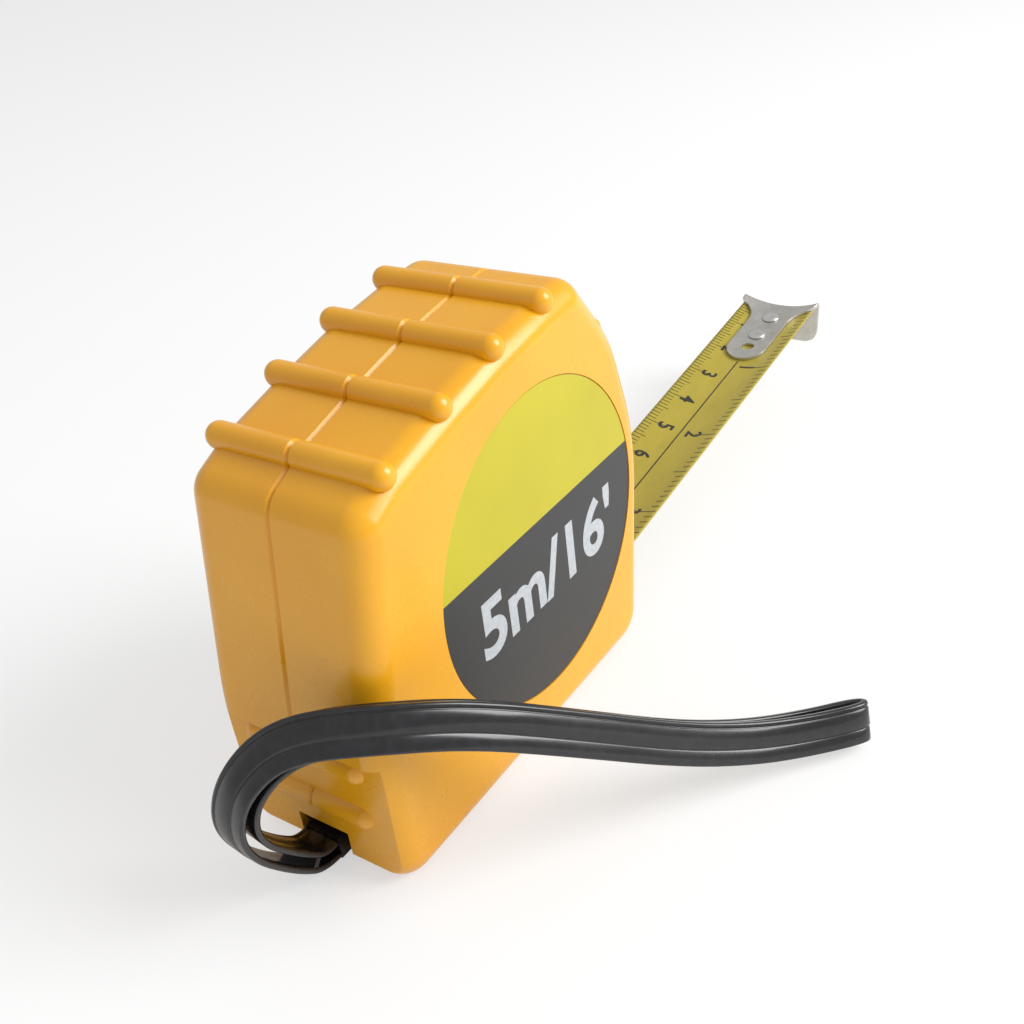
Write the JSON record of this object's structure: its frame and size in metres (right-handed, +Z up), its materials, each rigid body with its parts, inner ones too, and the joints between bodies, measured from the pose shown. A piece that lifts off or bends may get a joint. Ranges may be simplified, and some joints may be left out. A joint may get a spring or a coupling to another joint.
{
  "type": "tape measure",
  "caption": "Pocket tape measure in a ribbed two-part case, dished steel blade with an end hook, sliding thumb lock and a flat wrist strap loop.",
  "frame": {"origin": "on the flat base, on the parting plane between the two shells, under the middle of the case", "axes": "+X towards the blade mouth, +Y towards the side with the screws, +Z up from the flat base"},
  "size_m": [0.1766, 0.0737, 0.0679],
  "materials": {
    "case_plastic": "glossy moulded ABS",
    "label_print": "satin laminated print, yellow-green over black",
    "zinc_steel": "zinc plated",
    "bright_steel": "bright nickel plated",
    "spring_steel": "blued",
    "blade_paint": "satin lacquer",
    "reel_plastic": "moulded acetal",
    "lock_plastic": "fine texture",
    "brake_rubber": "matt",
    "strap_pvc": "glossy soft PVC"
  },
  "bodies": {
    "case": {"case_right": "case_plastic", "case_left": "case_plastic", "label_right": "label_print", "label_left": "label_print", "case_screws": "zinc_steel", "spring_arbor": "zinc_steel", "mouth_plate": "bright_steel", "lock_spring": "spring_steel", "blade_lead": "blade_paint", "strap_pin": "zinc_steel"},
    "reel": {"reel_base": "reel_plastic", "reel_cover": "reel_plastic", "blade_coil": "blade_paint", "mainspring": "spring_steel", "spring_link": "zinc_steel"},
    "blade_end": {"blade_strip": "blade_paint", "hook_rivets": "zinc_steel"},
    "hook": {"end_hook": "bright_steel"},
    "lock": {"lock_button": "lock_plastic", "lock_bar": "lock_plastic", "brake_pads": "brake_rubber"},
    "wrist_strap": {"strap_anchor": "strap_pvc", "strap": "strap_pvc", "strap_bridge": "strap_pvc"}
  },
  "joints": [
    {"name": "blade_slide", "type": "slide", "parent": "case", "child": "blade_end", "axis": [0.9926, 0, 0.1213], "range_m": [-0.0925, 4.9], "deforming": ["blade_strip", "blade_lead"]},
    {"name": "reel_spin", "type": "hinge", "parent": "case", "child": "reel", "pos_m": [0.0056, 0, 0.0326], "axis": [0, 1, 0], "range_deg": [-14400, 280], "deforming": ["mainspring"]},
    {"name": "hook_slide", "type": "slide", "parent": "blade_end", "child": "hook", "axis": [0.9926, 0, 0.1213], "range_m": [-0.0008, 0]},
    {"name": "lock_slide", "type": "slide", "parent": "case", "child": "lock", "axis": [0.1186, 0, 0.9929], "range_m": [0, 0.006]},
    {"name": "strap_swing", "type": "hinge", "parent": "case", "child": "wrist_strap", "pos_m": [-0.0296, 0, 0.0029], "axis": [0, -1, 0], "range_deg": [0, 80]}
  ],
  "couplings": [
    {"joint": "reel_spin", "follows": "blade_slide", "rad_per_m": -51}
  ]
}
